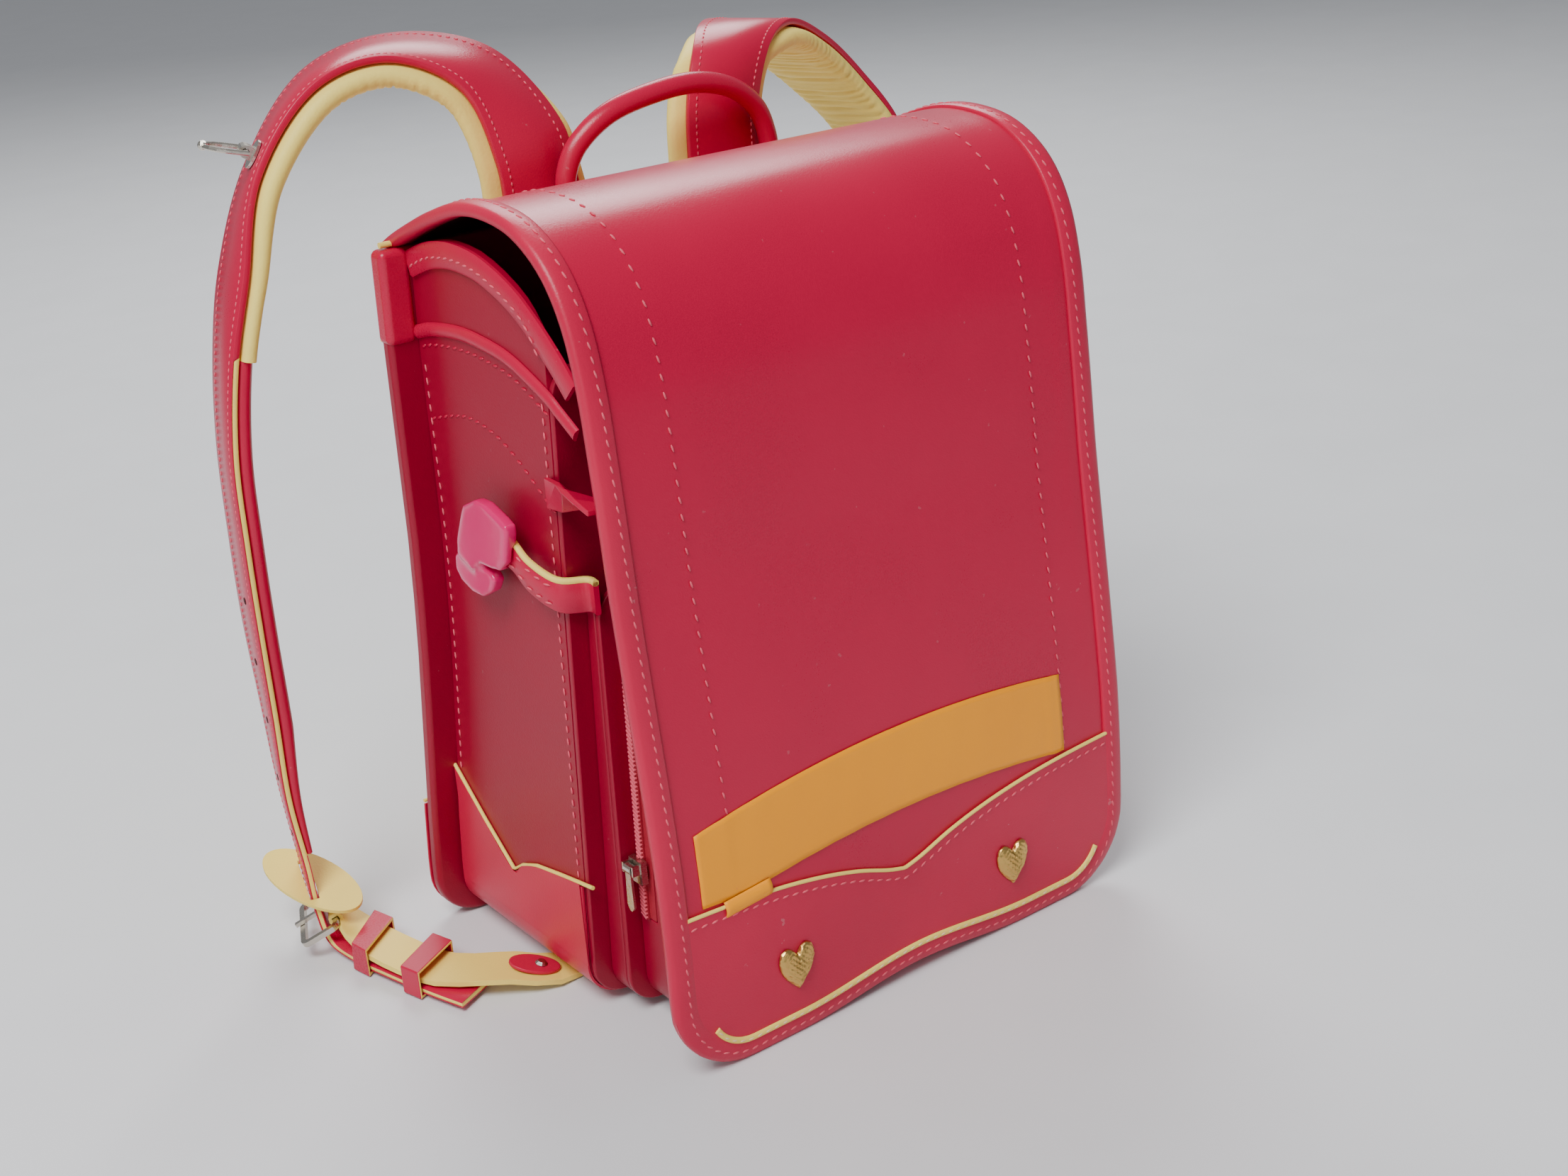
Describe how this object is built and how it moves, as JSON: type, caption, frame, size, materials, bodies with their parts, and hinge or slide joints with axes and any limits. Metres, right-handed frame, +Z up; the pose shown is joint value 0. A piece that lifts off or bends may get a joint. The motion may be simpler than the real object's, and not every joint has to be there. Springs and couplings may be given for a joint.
{
  "type": "school ransel",
  "caption": "Stiff leather school backpack with a full-length flap, box compartments, padded shoulder straps with buckles, a top handle and bracket-shaped lower trims.",
  "frame": {"origin": "floor under the middle of the bag's bounding box", "axes": "+Z up, -Y towards the flap, +Y towards the back panel, +X to the right as seen from the flap"},
  "size_m": [0.4068, 0.2536, 0.41],
  "materials": {
    "red_leather": "smooth semi-gloss",
    "deep_red_leather": "smooth satin",
    "trim_leather": "smooth satin",
    "cream_leather": "satin",
    "padding": "soft, padded",
    "tape": "glossy",
    "gold_metal": "worn",
    "nickel": "worn bright plate",
    "zip_tape": "woven",
    "hook_plastic": "glossy"
  },
  "bodies": {
    "bag": {"flap": "red_leather", "flap_binding": "red_leather", "flap_trim": "trim_leather", "hem_strip": "cream_leather", "flap_piping": "cream_leather", "tape": "tape", "heart_stud_left": "gold_metal", "heart_stud_right": "gold_metal", "back_panel": "deep_red_leather", "back_pad": "padding", "back_trim": "trim_leather", "back_piping": "cream_leather", "top_piping": "cream_leather", "corner_wrap_left": "red_leather", "corner_wrap_right": "red_leather", "main_gusset": "deep_red_leather", "rim_band_left": "red_leather", "side_bead_left": "red_leather", "rim_band_right": "red_leather", "side_bead_right": "red_leather", "base_trim": "trim_leather", "side_piping_left": "cream_leather", "side_piping_right": "cream_leather", "front_panel": "deep_red_leather", "pocket_gusset": "deep_red_leather", "pocket_front": "deep_red_leather", "zip_pocket_gusset": "deep_red_leather", "zipper": "zip_tape", "zip_pocket_front": "deep_red_leather", "zip_slider": "nickel", "lock_tongue": "red_leather", "lock_clasp": "nickel", "strap_fitting": "nickel", "handle": "red_leather", "buckle_left": "nickel", "buckle_prong_left": "nickel", "strap_left": "red_leather", "strap_pad_left": "padding", "strap_backing_left": "red_leather", "lower_strap_left": "cream_leather", "strap_guard_left": "cream_leather", "keeper_upper_left": "red_leather", "keeper_lower_left": "red_leather", "ring_holder": "nickel", "lower_patch": "red_leather", "lower_rivet": "nickel", "buckle_right": "nickel", "buckle_prong_right": "nickel", "strap_right": "red_leather", "strap_pad_right": "padding", "strap_backing_right": "red_leather", "lower_strap_right": "cream_leather", "strap_guard_right": "cream_leather", "keeper_upper_right": "red_leather", "keeper_lower_right": "red_leather", "side_tab": "red_leather", "side_hook": "hook_plastic", "twist_tab": "red_leather"},
    "ring": {"d_ring": "nickel"},
    "pull": {"zip_pull": "nickel"}
  },
  "joints": [
    {"name": "ring_hinge", "type": "hinge", "parent": "bag", "child": "ring", "pos_m": [-0.1644, 0.09585, 0.37314], "axis": [0.3116, 0.9502, 0.0014], "range_deg": [-55, 90]},
    {"name": "pull_hinge", "type": "hinge", "parent": "bag", "child": "pull", "pos_m": [-0.11532, -0.07165, 0.0792], "axis": [0, 1, 0], "range_deg": [0, 150]}
  ]
}
